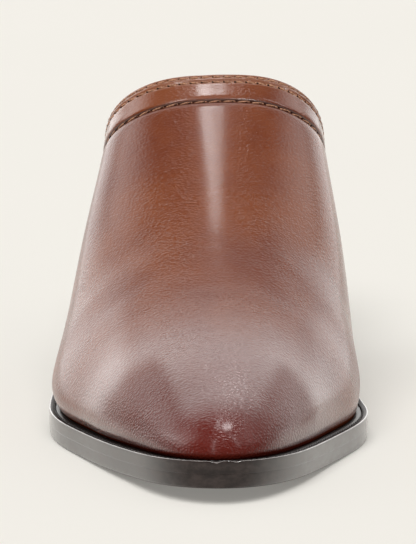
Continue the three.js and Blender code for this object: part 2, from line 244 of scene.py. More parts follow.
def station_of(angle):
    return SHOE_LENGTH / 2 * (1 - np.cos(angle))


def angle_of(station):
    return np.arccos(np.clip(1 - 2 * np.asarray(station, float) / SHOE_LENGTH, -1, 1))


def plan_curve():
    medial = [(math.acos(1 - 2 * row["along"]), row["medial"] * BALL_WIDTH) for row in PLAN]
    lateral = [(-math.acos(1 - 2 * row["along"]), -row["lateral"] * BALL_WIDTH) for row in PLAN]
    round_ = lateral[:0:-1] + medial
    before = [(a - 2 * math.pi, x) for a, x in round_[-4:-1]]
    after = [(a + 2 * math.pi, x) for a, x in round_[1:4]]
    points = before + round_ + after
    return smooth_curve([a for a, _ in points], [x for _, x in points])


plan_across = plan_curve()
edge_across = plan_across(np.linspace(-math.pi, math.pi, 361))
AXIS_SHIFT = (edge_across.max() + edge_across.min()) / 2


def plan_point(angle, inset=0.0):
    """Across, station and the outward direction of the sole's edge, moved inwards square to it."""
    step = 1e-3
    across = plan_across(angle + step) - plan_across(angle - step)
    along = station_of(angle + step) - station_of(angle - step)
    length = np.hypot(across, along)
    out_across, out_along = along / length, -across / length
    return (
        plan_across(angle) - inset * out_across,
        station_of(angle) - inset * out_along,
        out_across,
        out_along,
    )


def place(across, station, height):
    across, station, height = np.broadcast_arrays(across - AXIS_SHIFT, station - SHOE_LENGTH / 2, height)
    return np.stack([across, station, height], -1)


crest_share = column(LAST, "along", "crest", INSTEP)
ridge_aside = column(LAST, "along", "aside", BALL_WIDTH)
squareness = column(LAST, "along", "square")
swell_lateral = column(LAST, "along", "lateral", BALL_WIDTH)
swell_medial = column(LAST, "along", "medial", BALL_WIDTH)
collar_reach = column(COLLAR, "turn", "reach")
puff_height = column(PUFF, "inside", "height")


def collar_station(turn):
    return THROAT + (COLLAR_END - THROAT) * collar_reach(turn)


def ledge(station):
    return LEDGE + (LEDGE_BEHIND - LEDGE) * ease(LEDGE_FROM * SHOE_LENGTH, LEDGE_TO * SHOE_LENGTH, station)


def last_point(angle, turn, side):
    """The last's surface, in millimetres: angle along the plan, turn from the feather line to the ridge."""
    angle, turn, side = np.broadcast_arrays(*(np.asarray(v, float) for v in (angle, turn, side)))
    station = station_of(angle)
    across, foot, out_across, out_along = plan_point(side * angle, ledge(station))
    lean = TOE_RIDGE * SHOE_LENGTH * np.maximum(0, 1 - station / (RIDGE_JOIN * SHOE_LENGTH)) ** 2
    ridge_at = station + lean
    share = ridge_at / SHOE_LENGTH
    power = squareness(share)
    quarter = turn * math.pi / 2
    cosine = np.maximum(0, np.cos(quarter))
    radius = (cosine**power + np.sin(quarter) ** power) ** (1 / power)
    outwards, upwards = cosine / radius, np.sin(quarter) / radius
    swelling = np.where(side < 0, swell_lateral(share), swell_medial(share))
    tuck = swelling * np.maximum(0, 1 - upwards / TUCK_SHARE) ** 2
    side_across, side_along = across + out_across * swelling, foot + out_along * swelling
    ridge = ridge_aside(share)
    along = ridge_at + (side_along - ridge_at) * outwards - out_along * tuck
    base = level(foot, SOLE_TOP)
    crest = level(along, SOLE_TOP) + crest_share(along / SHOE_LENGTH)
    return place(
        ridge + (side_across - ridge) * outwards - out_across * tuck,
        along,
        base + (crest - base) * upwards,
    )


def last_normal(angle, turn, side):
    """Outward normals of the last; both sides' are averaged on the ridge and at the toe tip."""
    angle, turn, side = np.broadcast_arrays(*(np.asarray(v, float) for v in (angle, turn, side)))
    step = 2e-3
    turn = np.where((angle < 1e-6) & (turn > 1 - 1e-6), 0.99, turn)

    def one(side):
        ahead = last_point(angle + step, turn, side)
        behind = last_point(np.maximum(angle - step, 0), turn, side)
        up = last_point(angle, np.minimum(turn + step, 1), side)
        down = last_point(angle, np.maximum(turn - step, 0), side)
        normal = np.cross(ahead - behind, up - down) * side[..., None]
        return normal / np.linalg.norm(normal, axis=-1, keepdims=True)

    normal = one(side)
    shared = (turn > 1 - 1e-6) | (angle < 1e-6)
    normal = np.where(shared[..., None], normal + one(-side), normal)
    return normal / np.linalg.norm(normal, axis=-1, keepdims=True)


def columns(half):
    """Turns and sides of the points across the vamp: lateral feather line, ridge, medial feather line."""
    j = np.arange(-half, half + 1)
    return 1 - np.abs(j) / half, np.where(j < 0, -1.0, 1.0)


def line_stretch(turn, side):
    """How much further apart two lines across the vamp are in stations than over the last."""
    low, high = np.maximum(0, turn - 0.02), np.minimum(1, turn + 0.02)

    def unit(a, b):
        v = b - a
        return v / np.linalg.norm(v, axis=-1, keepdims=True)

    line = unit(
        last_point(angle_of(collar_station(low)), low, side),
        last_point(angle_of(collar_station(high)), high, side),
    )
    at = collar_station(turn)
    along = unit(last_point(angle_of(at - 1), turn, side), last_point(angle_of(at), turn, side))
    return np.linalg.norm(np.cross(line, along), axis=-1)


def angle_inside(turn, side, width):
    return angle_of(collar_station(turn) - width / line_stretch(turn, side))


def on_floor_of_upper(points):
    """Puts both ends of each row of points on the sole's top."""
    for j in (0, -1):
        points[:, j, 2] = level(points[:, j, 1] + SHOE_LENGTH / 2, SOLE_TOP - 0.05)
    return points


# Meshes


def to_object(name, points, faces, numbers=None, merge=1e-5, recalculate=False):
    """A smooth-shaded object from points in millimetres; numbers are kept as attributes of its points."""
    mesh = bpy.data.meshes.new(name)
    mesh.from_pydata((np.asarray(points, float) * MM).tolist(), [], [list(map(int, f)) for f in faces])
    for key, values in (numbers or {}).items():
        mesh.attributes.new(key, "FLOAT", "POINT").data.foreach_set("value", np.ravel(values).astype(float))
    bm = bmesh.new()
    bm.from_mesh(mesh)
    bmesh.ops.remove_doubles(bm, verts=bm.verts, dist=merge)
    bmesh.ops.dissolve_degenerate(bm, edges=bm.edges, dist=1e-7)
    if recalculate:
        bmesh.ops.recalc_face_normals(bm, faces=bm.faces)
    bm.to_mesh(mesh)
    bm.free()
    mesh.shade_smooth()
    piece = bpy.data.objects.new(name, mesh)
    bpy.context.scene.collection.objects.link(piece)
    return piece


def grid_faces(rows, count, start=0, flip=False, closed=False):
    """Quads between rows of points."""
    i, j = np.meshgrid(np.arange(rows - 1), np.arange(count if closed else count - 1), indexing="ij")
    a, b = start + i * count + j, start + i * count + (j + 1) % count
    c, d = a + count, b + count
    quads = np.stack([a, c, d, b] if flip else [a, b, d, c], -1)
    return quads.reshape(-1, 4).tolist()


def wall(name, outer, inner, numbers=None):
    """A closed shell between two grids of points whose first row folds shut at the toe tip."""
    rows, count = outer.shape[:2]
    inside, end = rows * count, count - 1
    faces = grid_faces(rows, count) + grid_faces(rows, count, inside, True)
    last = (rows - 1) * count
    for j in range(end):
        faces.append([last + j, last + j + 1, inside + last + j + 1, inside + last + j])
    for i in range(rows - 1):
        a, b = i * count, (i + 1) * count
        faces.append([a, b, inside + b, inside + a])
        faces.append([b + end, a + end, inside + a + end, inside + b + end])
    points = np.concatenate([outer.reshape(-1, 3), inner.reshape(-1, 3)])
    numbers = {key: np.concatenate([np.ravel(v), np.ravel(v)]) for key, v in (numbers or {}).items()}
    return to_object(name, points, faces, numbers)


def loop_sweep(name, loops, numbers, merge):
    """A body swept through loops of points, capped at both ends."""
    count, size = loops.shape[:2]
    faces = grid_faces(count, size, closed=True)
    faces += [list(range(size))[::-1], list(range((count - 1) * size, count * size))]
    return to_object(name, loops.reshape(-1, 3), faces, numbers, merge, recalculate=True)


def finish_piece(piece, material, slot, *nodes):
    piece.data.materials.clear()
    piece.data.materials.append(material)
    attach(piece, BODY)
    if nodes:
        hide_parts(*nodes)
    return piece


# Node trees and materials


def plug(tree, socket, value):
    if isinstance(value, bpy.types.NodeSocket):
        tree.links.new(value, socket)
    else:
        socket.default_value = value


def add_node(tree, kind, inputs=None, **settings):
    """Adds a node; each input is a value or another node's output."""
    made = tree.nodes.new(kind)
    for key, value in settings.items():
        setattr(made, key, value)
    for key, value in (inputs or {}).items():
        plug(tree, made.inputs[key], value)
    return made


def colour(value):
    """An sRGB colour such as "8a4a2c" as linear light."""
    parts = [int(value[i : i + 2], 16) / 255 for i in (0, 2, 4)]
    return [c / 12.92 if c <= 0.04045 else ((c + 0.055) / 1.055) ** 2.4 for c in parts] + [1.0]


class Shader:
    """A new material and short calls for the nodes it is made of."""

    def __init__(self, name):
        self.material = bpy.data.materials.new(name)
        self.material.use_nodes = True
        self.tree = self.material.node_tree
        self.surface = self.tree.nodes["Principled BSDF"]
        self.place = self.add("ShaderNodeTexCoord").outputs["Object"]

    def connect(self, name, value):
        plug(self.tree, self.surface.inputs[name], value)

    def add(self, kind, inputs=None, **settings):
        return add_node(self.tree, kind, inputs, **settings)

    def axis(self, name):
        if not hasattr(self, "axes"):
            self.axes = self.add("ShaderNodeSeparateXYZ", {0: self.place})
        return self.axes.outputs[name]

    def scaled(self, *scale):
        return self.add("ShaderNodeMapping", {"Vector": self.place, "Scale": scale}).outputs[0]

    def noise(self, scale, detail=3.0, rough=0.5, at=None, twist=0.0):
        inputs = {"Vector": at or self.place, "Scale": scale, "Detail": detail, "Roughness": rough}
        inputs["Distortion"] = twist
        return self.add("ShaderNodeTexNoise", inputs).outputs["Fac"]

    def cells(self, scale, at=None):
        inputs = {"Vector": at or self.place, "Scale": scale}
        return self.add("ShaderNodeTexVoronoi", inputs).outputs["Distance"]

    def ramp(self, value, low, high, start=0.0, end=1.0):
        inputs = {"Value": value, "From Min": low, "From Max": high, "To Min": start, "To Max": end}
        return self.add("ShaderNodeMapRange", inputs, interpolation_type="SMOOTHSTEP").outputs[0]

    def maths(self, operation, a, b=0.0):
        return self.add("ShaderNodeMath", {0: a, 1: b}, operation=operation).outputs[0]

    def times(self, *parts):
        return functools.reduce(lambda a, b: self.maths("MULTIPLY", a, b), parts)

    def mix(self, share, a, b):
        return self.add("ShaderNodeMix", {0: share, 6: a, 7: b}, data_type="RGBA").outputs[2]

    def number(self, name):
        return self.add("ShaderNodeAttribute", attribute_name=name).outputs["Fac"]

    def finish(self, base, roughness, heights=(), **sockets):
        """heights are (height, millimetres) pairs that add up to the relief."""
        self.connect("Base Color", base)
        self.connect("Roughness", roughness)
        for key, value in sockets.items():
            self.connect(key.replace("_", " "), value)
        total = None
        for height, size in heights:
            part = self.maths("MULTIPLY", height, size)
            total = part if total is None else self.maths("ADD", total, part)
        if total is not None:
            bump = self.add("ShaderNodeBump", {"Height": total, "Distance": MM, "Strength": 1.0})
            self.connect("Normal", bump.outputs[0])
        return self.material


def leather_relief(shader, grain):
    """Fine grain with short lateral lines where the vamp bends."""
    wide = shader.scaled(0.62, 1.0, 1.0)
    warp = shader.noise(420, 2, at=wide)
    shift = {0: (1.0, 1.0, 1.0), "Scale": shader.maths("MULTIPLY", warp, 0.0006)}
    shift = shader.add("ShaderNodeVectorMath", shift, operation="SCALE").outputs[0]
    place = shader.add("ShaderNodeVectorMath", {0: wide, 1: shift}, operation="ADD")
    pebbles = shader.cells(1650, at=place.outputs[0])
    fine = shader.noise(2600, 2)
    lines = shader.noise(900, 3, 0.6, at=shader.scaled(0.3, 1.0, 1.0), twist=0.5)
    return [(pebbles, 0.14 * grain), (fine, 0.02 * grain), (lines, 0.1 * grain)]


def make_vamp_leather(look):
    shader = Shader("burnished_saddle_leather")
    along = shader.axis("Y")
    patches = shader.noise(26, 3, 0.55)
    warm = shader.mix(shader.ramp(patches, 0.38, 0.66), list(look.saddle), list(look.russet))
    pores = shader.noise(1500, 2)
    warm = shader.mix(shader.ramp(pores, 0.3, 0.75, 0.0, 0.22), warm, list(look.burnish))
    wander = shader.maths("MULTIPLY", shader.noise(35, 3), 0.03)
    line = shader.maths("ADD", along, wander)
    toe = shader.ramp(line, -0.025, -0.105)
    body = shader.mix(toe, warm, list(look.burnish))
    tip = shader.ramp(line, -0.096, -0.113)
    body = shader.mix(tip, body, list(look.toe_red))
    rise = shader.number("rise")
    # Painted shade: the leather darkens towards the sole, where the upper curves in under itself.
    edge = shader.ramp(rise, 2.2, 0.2, 0.0, 0.65)
    body = shader.mix(edge, body, list(look.painted_shade_brown))
    seam = shader.number("inside")
    # Painted shade: the leather darkens just in front of the seam, under the band's edge.
    seam_shade = shader.ramp(seam, 8.7, 7.6)
    body = shader.mix(shader.maths("MULTIPLY", seam_shade, 0.8), body, list(look.painted_shade_brown))
    rough = shader.ramp(shader.noise(60, 3), 0.3, 0.7, look.roughness - 0.03, look.roughness + 0.04)
    # Polish: higher over the toe box and at its sides, thin at the toe's front, its flanks and the foot
    times = shader.times
    middle = shader.ramp(along, -0.02, -0.045, 0.62, 0.5)
    polish = shader.ramp(along, -0.062, -0.096, middle, 1.12)
    apart = shader.add("ShaderNodeVectorMath", {0: shader.place, 1: TOE_FRONT}, operation="DISTANCE")
    front = shader.ramp(apart.outputs["Value"], 0.007, 0.02, 0.35, 1.0)
    aside = shader.maths("ABSOLUTE", shader.maths("SUBTRACT", shader.axis("X"), 0.003))
    lean = shader.maths("MULTIPLY", shader.maths("ADD", along, 0.112), -0.25)
    flank = shader.ramp(shader.maths("ADD", aside, lean), 0.007, 0.013)
    flank = times(flank, shader.ramp(along, -0.082, -0.095), shader.ramp(rise, 3.0, 8.0))
    side = times(shader.ramp(aside, 0.02, 0.031), shader.ramp(along, -0.045, -0.062))
    polish = times(
        polish,
        times(front, shader.ramp(flank, 0.0, 1.0, 1.0, 0.42)),
        times(shader.ramp(side, 0.0, 1.0, 1.0, 1.5), shader.ramp(rise, 0.9, 1.8)),
    )
    grained = shader.ramp(along, 0.0, -0.04, 0.8, 1.4)
    relief = [(times(height, grained), size) for height, size in leather_relief(shader, look.grain)]
    shader.connect("Coat Roughness", 0.16)
    return shader.finish(
        body,
        rough,
        relief,
        Coat_Weight=shader.maths("MINIMUM", times(polish, 0.85), 1.0),
        Coat_Roughness=shader.ramp(along, -0.005, -0.045, 0.12, 0.2),
        Coat_IOR=shader.ramp(side, 0.0, 1.0, 1.5, 1.85),
        Specular_IOR_Level=shader.maths("MINIMUM", times(polish, 0.5), 1.0),
    )


def make_band_leather(look):
    shader = Shader("collar_band_leather")
    patches = shader.noise(30, 3, 0.55)
    warm = shader.mix(shader.ramp(patches, 0.38, 0.68), list(look.saddle), list(look.russet))
    inside = shader.number("inside")
    # Painted highlight: the rim and the ridge between its stitch rows are paler, standing in for the light they
    # catch.
    rim = shader.ramp(inside, 3.4, 2.6, 0.0, 0.45)
    body = shader.mix(rim, warm, list(look.rim))
    # Painted shade: the band darkens at its lower edge, where it turns under into the seam groove.
    lower = shader.ramp(inside, 6.95, 7.4, 0.0, 0.8)
    body = shader.mix(lower, body, list(look.painted_shade_brown))
    rough = shader.ramp(shader.noise(60, 3), 0.3, 0.7, look.roughness - 0.03, look.roughness + 0.05)
    return shader.finish(
        body, rough, leather_relief(shader, look.grain * 0.55), Coat_Weight=0.7, Coat_Roughness=0.12
    )


def make_lining_leather(look):
    shader = Shader("lining_leather")
    body = shader.mix(shader.ramp(shader.noise(40, 4), 0.35, 0.7), list(look.lining), list(look.sock))
    return shader.finish(body, 0.62, [(shader.cells(1400), 0.02), (shader.noise(300, 3), 0.03)])


def make_sock_leather(look):
    shader = Shader("sock_leather")
    patchiness = shader.ramp(shader.noise(22, 4, 0.6), 0.4, 0.75, 0.0, 0.6)
    body = shader.mix(patchiness, list(look.sock), list(look.lining))
    rough = shader.ramp(shader.noise(50, 3), 0.3, 0.7, 0.5, 0.62)
    return shader.finish(body, rough, [(shader.cells(1100), 0.02), (shader.noise(250, 3), 0.03)])


def make_edge_wax(look, name="edge_wax", tone=1.0):
    """Waxed edge, brushed along the sole."""
    shader = Shader(name)
    brushed = shader.noise(1.0, 4, 0.6, at=shader.scaled(260, 260, 420))
    clouds = shader.noise(45, 3)
    base = shader.mix(shader.ramp(brushed, 0.35, 0.7), list(look.wax), list(look.wax_light))
    base = shader.mix(shader.ramp(clouds, 0.4, 0.75, 0.0, 0.5), base, list(look.wax))
    rough = shader.ramp(brushed, 0.3, 0.7, 0.3 * tone, 0.42 * tone)
    facing = shader.add("ShaderNodeLayerWeight", {"Blend": 0.5}).outputs["Facing"]
    gloss = shader.ramp(facing, 0.12, 0.7, 0.08, 1.0)
    varnish = shader.ramp(facing, 0.1, 0.65, 0.5, 1.0)
    relief = [(brushed, 0.02), (shader.noise(500, 3), 0.012)]
    return shader.finish(
        base, rough, relief, Coat_Weight=varnish, Coat_Roughness=0.16, Specular_IOR_Level=gloss
    )


def make_corner_highlight(look):
    """The ledge's sharp outer corner, painted pale as the highlight the corner catches."""
    shader = Shader("rubbed_corner")
    patchiness = shader.ramp(shader.noise(260, 3), 0.35, 0.65)
    return shader.finish(shader.mix(patchiness, list(look.wax_light), list(look.corner_highlight)), 0.25, Coat_Weight=1.0)


def make_ledge_wax(look):
    shader = Shader("ledge_wax")
    base = shader.mix(shader.ramp(shader.noise(180, 3), 0.35, 0.7), list(look.ledge), list(look.wax))
    return shader.finish(base, 0.38, [(shader.noise(900, 3), 0.02)])


def make_thread(name, main, dark):
    shader = Shader(name)
    twist = shader.noise(1800, 2)
    base = shader.mix(shader.ramp(twist, 0.35, 0.7), list(main), list(dark))
    return shader.finish(base, 0.6, [(twist, 0.05)])


def make_hole_shade(look):
    # Painted shade: the needle holes are dark sunken pieces standing in for the shade inside them.
    shader = Shader("needle_hole")
    base = shader.mix(shader.noise(900), list(look.hole), list(look.painted_shade_brown))
    return shader.finish(base, 0.85, [(shader.noise(1500), 0.02)])


def make_rubber(look):
    shader = Shader("lift_rubber")
    specks = shader.noise(800, 4)
    base = shader.mix(shader.ramp(specks, 0.4, 0.7), list(look.rubber), list(look.wax))
    return shader.finish(base, 0.68, [(specks, 0.04), (shader.cells(500), 0.03)])


def make_sole_leather(look):
    shader = Shader("tread_leather")
    clouds = shader.noise(30, 4, 0.6)
    base = shader.mix(shader.ramp(clouds, 0.35, 0.7), list(look.tread), list(look.wax))
    fibres = shader.noise(1.0, 3, at=shader.scaled(900, 250, 900))
    return shader.finish(base, 0.55, [(fibres, 0.04), (clouds, 0.1)])


# Stitches made with Geometry Nodes


def rounded_row_tree(name):
    """Puts one bent stitch or one needle hole every pitch along a guide path."""
    tree = bpy.data.node_groups.new(name, "GeometryNodeTree")
    floats = ("Pitch", "Length", "Thread Radius", "Rise", "Sink", "Slant")
    tree.interface.new_socket("Guide", in_out="INPUT", socket_type="NodeSocketGeometry")
    for key in floats:
        tree.interface.new_socket(key, in_out="INPUT", socket_type="NodeSocketFloat")
    tree.interface.new_socket("Seed", in_out="INPUT", socket_type="NodeSocketInt")
    tree.interface.new_socket("Thread", in_out="INPUT", socket_type="NodeSocketMaterial")
    tree.interface.new_socket("Stitches", in_out="OUTPUT", socket_type="NodeSocketGeometry")

    add = functools.partial(add_node, tree)
    given = add("NodeGroupInput").outputs
    path = add("GeometryNodeMeshToCurve", {"Mesh": given["Guide"]})
    spaced = add(
        "GeometryNodeResampleCurve", {"Curve": path.outputs[0], "Length": given["Pitch"]}, mode="LENGTH"
    )
    half = add("ShaderNodeMath", {0: given["Length"], 1: 0.5}, operation="MULTIPLY").outputs[0]
    back = add("ShaderNodeMath", {0: half, 1: -1.0}, operation="MULTIPLY").outputs[0]
    down = add("ShaderNodeMath", {0: given["Sink"], 1: -1.0}, operation="MULTIPLY").outputs[0]
    start = add("ShaderNodeCombineXYZ", {0: back, 2: down}).outputs[0]
    middle = add("ShaderNodeCombineXYZ", {2: given["Rise"]}).outputs[0]
    end = add("ShaderNodeCombineXYZ", {0: half, 2: down}).outputs[0]
    bow = add(
        "GeometryNodeCurveQuadraticBezier",
        {"Resolution": 8, "Start": start, "Middle": middle, "End": end},
    )
    ring = add("GeometryNodeCurvePrimitiveCircle", {"Resolution": 8, "Radius": given["Thread Radius"]})
    stitch = add(
        "GeometryNodeCurveToMesh",
        {"Curve": bow.outputs[0], "Profile Curve": ring.outputs[0], "Fill Caps": True},
    )
    up = add("GeometryNodeInputNamedAttribute", {"Name": "up"}, data_type="FLOAT_VECTOR").outputs[0]
    tangent = add("GeometryNodeInputTangent").outputs[0]
    facing = add(
        "FunctionNodeAxesToRotation",
        {"Primary Axis": up, "Secondary Axis": tangent},
        primary_axis="Z",
        secondary_axis="X",
    )
    wobble = add(
        "FunctionNodeRandomValue", {2: -0.06, 3: 0.06, "Seed": given["Seed"]}, data_type="FLOAT"
    ).outputs[1]
    lean = add("ShaderNodeMath", {0: given["Slant"], 1: wobble}, operation="ADD").outputs[0]
    slant = add("FunctionNodeAxisAngleToRotation", {"Axis": (0.0, 0.0, 1.0), "Angle": lean})
    turned = add(
        "FunctionNodeRotateRotation",
        {"Rotation": facing.outputs[0], "Rotate By": slant.outputs[0]},
        rotation_space="LOCAL",
    )
    copies = add(
        "GeometryNodeInstanceOnPoints",
        {"Points": spaced.outputs[0], "Instance": stitch.outputs[0], "Rotation": turned.outputs[0]},
    )
    real = add("GeometryNodeRealizeInstances", {0: copies.outputs[0]})
    smooth = add("GeometryNodeSetShadeSmooth", {0: real.outputs[0]})
    painted = add("GeometryNodeSetMaterial", {0: smooth.outputs[0], "Material": given["Thread"]})
    tree.links.new(painted.outputs[0], add("NodeGroupOutput").inputs[0])
    return tree


def stitch_row(name, tree, path, ups, material, slot, **sizes):
    """A piece of stitches along a path of points in millimetres; sizes are the tree's inputs in metres."""
    mesh = bpy.data.meshes.new(name + "_guide")
    mesh.from_pydata((path * MM).tolist(), [[i, i + 1] for i in range(len(path) - 1)], [])
    mesh.attributes.new("up", "FLOAT_VECTOR", "POINT").data.foreach_set("vector", np.ravel(ups))
    guide = bpy.data.objects.new(name + "_guide", mesh)
    bpy.context.scene.collection.objects.link(guide)
    modifier = guide.modifiers.new("stitches", "NODES")
    modifier.node_group = tree
    sockets = {
        item.name: item.identifier for item in tree.interface.items_tree if item.in_out == "INPUT"
    }
    for key, value in sizes.items():
        modifier[sockets[key.replace("_", " ")]] = value
    modifier[sockets["Thread"]] = material
    evaluated = guide.evaluated_get(bpy.context.evaluated_depsgraph_get())
    made = bpy.data.meshes.new_from_object(evaluated)
    made.name = name
    for key in [a.name for a in made.attributes if a.name == "up"]:
        made.attributes.remove(made.attributes[key])
    piece = bpy.data.objects.new(name, made)
    bpy.context.scene.collection.objects.link(piece)
    bpy.data.objects.remove(guide)
    return finish_piece(piece, material, slot)


def collar_path(inside, height, half=160, trim=3):
    """A line along the collar, and its outward normals."""
    turn, side = columns(half)
    turn, side = turn[trim:-trim], side[trim:-trim]
    angle = angle_inside(turn, side, inside)
    normal = last_normal(angle, turn, side)
    return last_point(angle, turn, side) + normal * height, normal


# What a user would change


def number(label, text, value, least=0.0, most=100.0):
    return bpy.props.FloatProperty(name=label, description=text, default=value, min=least, max=most)


class MuleLeather(bpy.types.PropertyGroup):
    def paint(label, text, value):
        return bpy.props.FloatVectorProperty(
            name=label, description=text, default=colour(value), subtype="COLOR", size=4, min=0, max=1
        )

    saddle: paint("Saddle brown", "Lighter brown of the instep", "7e4120")
    russet: paint("Russet", "Redder patches of the instep", "6b3119")
    burnish: paint("Burnish", "Dark red brown of the toe box", "581d14")
    toe_red: paint("Toe red", "Brighter red of the toe tip", "5e1a11")
    # Painted shade: this dark brown stands in for the shade beside the seams, inside the needle holes and where
    # the upper curves in to the sole.
    painted_shade_brown: paint("Edge brown", "Darkened leather beside seams and the sole", "35140e")
    # Painted highlight: this paler brown stands in for the light caught by the rolled rim.
    rim: paint("Rim", "Paler leather at the stitched rim", "8f5f45")
    lining: paint("Lining", "Leather inside the vamp", "a9764f")
    sock: paint("Sock", "Leather under the foot", "b08058")
    thread: paint("Thread", "Tan collar thread", "b8876a")
    thread_dark: paint("Thread shade", "Darker strands of the collar thread", "7d5238")
    # Painted shade: this near black stands in for the shade inside the needle holes.
    hole: paint("Needle hole", "Inside of a needle hole", "1c0a06")
    wax: paint("Edge wax", "Sole and heel edges", "211917")
    wax_light: paint("Edge wax, worn", "Lighter brushing of the edges", "3c322f")
    # Painted highlight: this pale grey stands in for the light caught on the ledge's sharp corner.
    corner_highlight: paint("Rubbed corner", "Polished corner of the ledge", "a09894")
    ledge: paint("Ledge", "Top of the stitched ledge", "120f0e")
    ledge_thread: paint("Ledge thread", "Stitches of the ledge", "211917")
    tread: paint("Tread", "Underside of the outsole", "3a2c24")
    rubber: paint("Rubber", "Heel lift", "1a1919")
    roughness: number("Roughness", "Gloss of the vamp, lower is shinier", 0.29, 0.1, 0.9)
    grain: number("Grain", "Strength of the leather's grain", 1.0, 0.0, 4.0)
    creases: number("Creases", "Strength of the vamp's soft troughs", 1.0, 0.0, 3.0)


class MuleStitches(bpy.types.PropertyGroup):
    def size(label, text, value):
        return bpy.props.FloatProperty(
            name=label, description=text, default=value, unit="LENGTH", subtype="DISTANCE", precision=5
        )

    rim_pitch: size("Rim pitch", "From one rim stitch to the next", 0.0031)
    seam_pitch: size("Seam pitch", "From one seam stitch to the next", 0.00395)
    ledge_pitch: size("Ledge pitch", "From one ledge stitch to the next", 0.0019)
    thread_radius: size("Thread radius", "Half the thickness of the collar thread", 0.00026)
    ledge_radius: size("Ledge thread radius", "Half the thickness of the ledge thread", 0.00028)


class MuleStage(bpy.types.PropertyGroup):
    floor_colour: bpy.props.FloatVectorProperty(
        name="Floor",
        description="Pale floor",
        default=colour("efece5"),
        subtype="COLOR",
        size=4,
        min=0,
        max=1,
    )
    strip_power: number("Strip light", "Watts of the narrow light overhead", 1.4)
    front_power: number("Front lights", "Watts of each upright light in front", 4.5)
    toe_power: number("Toe lamp", "Watts of the small round lamp over the toe", 0.07)
    ambient: number("Ambient", "Even light from all round", 0.3)
    key_power: number("Soft light", "Strength of the broad light in front", 2.5)


def crease_height(points):
    """Sum of the soft troughs and ridges at points of the vamp."""
    across, station = points[..., 0], points[..., 1] + SHOE_LENGTH / 2
    height = np.zeros(across.shape)
    for row in CREASES:
        away = (across - row["across"]) / row["reach"]
        line = row["station"] - row["bow"] * away**2
        fade = np.exp(-(away**4))
        height += row["height"] * fade * np.exp(-(((station - line) / row["width"]) ** 2))
    return height


def round_tip(points, rise, reach=4.2):
    """Rounds the toe tip across the shoe, line by line from the feather line to the ridge."""
    half, rows = points.shape[1] // 2, points.shape[0] * 5 // 9
    points = points.copy()
    for j in range(half + 1):
        twin = points.shape[1] - 1 - j
        line = np.concatenate([points[rows:0:-1, j], points[: rows + 1, twin]])
        run = np.concatenate([[0], np.cumsum(np.linalg.norm(np.diff(line, axis=0), axis=-1))])
        run -= run[rows]
        weight = np.exp(-(((run[:, None] - run) / reach) ** 2) / 2) * np.gradient(run)
        mean = weight @ line / weight.sum(1, keepdims=True)
        share = (1 - ease(8, 20, np.abs(run))) * ease(-2, 4, rise[0, j])
        line += (mean - line) * share[:, None]
        points[rows:0:-1, j], points[: rows + 1, twin] = line[:rows], line[rows:]
        points[0, j] = line[rows]
    return points


BOWL_REACH = 3.4


def soften_toe(points, normals, rise):
    """Rounds the corner where the ridge drops to the toe tip: each point moves to a bowl fitted round it."""
    points = round_tip(points, rise)
    start = points[0, points.shape[1] // 2]
    away = np.linalg.norm(points - start, axis=-1)
    share = (1 - ease(14, 26, away)) * ease(-2, 4, rise)
    near = away < 34
    cells = np.unique(np.round(points[near] / 1.3), axis=0, return_index=True)[1]
    samples = points[near][cells]
    chosen = share > 0
    at, out, moved = points[chosen], normals[chosen], np.zeros(chosen.sum())
    side = np.cross(out, [0.0, 0.0, 1.0])
    side /= np.maximum(np.linalg.norm(side, axis=-1, keepdims=True), 1e-9)
    axes = np.stack([side, np.cross(side, out), out], -1)
    for i in range(0, len(at), 500):
        part = slice(i, i + 500)
        local = (samples[None] - at[part, None]) @ axes[part]
        u, v, h = local[..., 0], local[..., 1], local[..., 2]
        terms = np.stack([np.ones_like(u), u, v, u * u, u * v, v * v], -1)
        weight = np.exp((u * u + v * v + h * h) / (-2 * BOWL_REACH**2))
        weighted = np.swapaxes(terms * weight[..., None], 1, 2)
        square = weighted @ terms + np.eye(6) * 1e-9
        moved[part] = np.linalg.solve(square, weighted @ h[..., None])[:, 0, 0]
    points[chosen] += out * (moved * share[chosen])[:, None]
    points[0] = (points[0] + points[0, ::-1]) / 2
    return on_floor_of_upper(points)


class MULE_OT_vamp(bpy.types.Operator):
    """Makes the vamp's outer leather with its soft creases, tucked in at the ledge and under the band"""

    bl_idname = "mule.vamp"
    bl_label = "Vamp"

    def execute(self, context):
        look = context.scene.mule_leather
        turn, side = columns(110)
        share = 1 - (1 - np.linspace(0, 1, 210)[:, None]) ** 1.3
        angle = share * angle_inside(turn, side, 2.6)[None]
        turn, side = np.broadcast_arrays(turn[None], side[None])
        base, normal = last_point(angle, turn, side), last_normal(angle, turn, side)
        inside = (collar_station(turn[0]) - station_of(angle)) * line_stretch(turn[0], side[0])
        height = puff_height(np.clip(inside, 0, 30)) + crease_height(base) * look.creases
        rise = base[..., 2] - level(base[..., 1] + SHOE_LENGTH / 2, SOLE_TOP)
        outer = soften_toe(base + normal * height[..., None], normal, rise)
        inner = soften_toe(base - normal * 1.35, normal, rise)
        piece = wall("vamp", outer, inner, {"inside": np.clip(inside, 0, 40), "rise": rise})
        finish_piece(piece, make_vamp_leather(look), "vamp_leather", "upper")
        return {"FINISHED"}


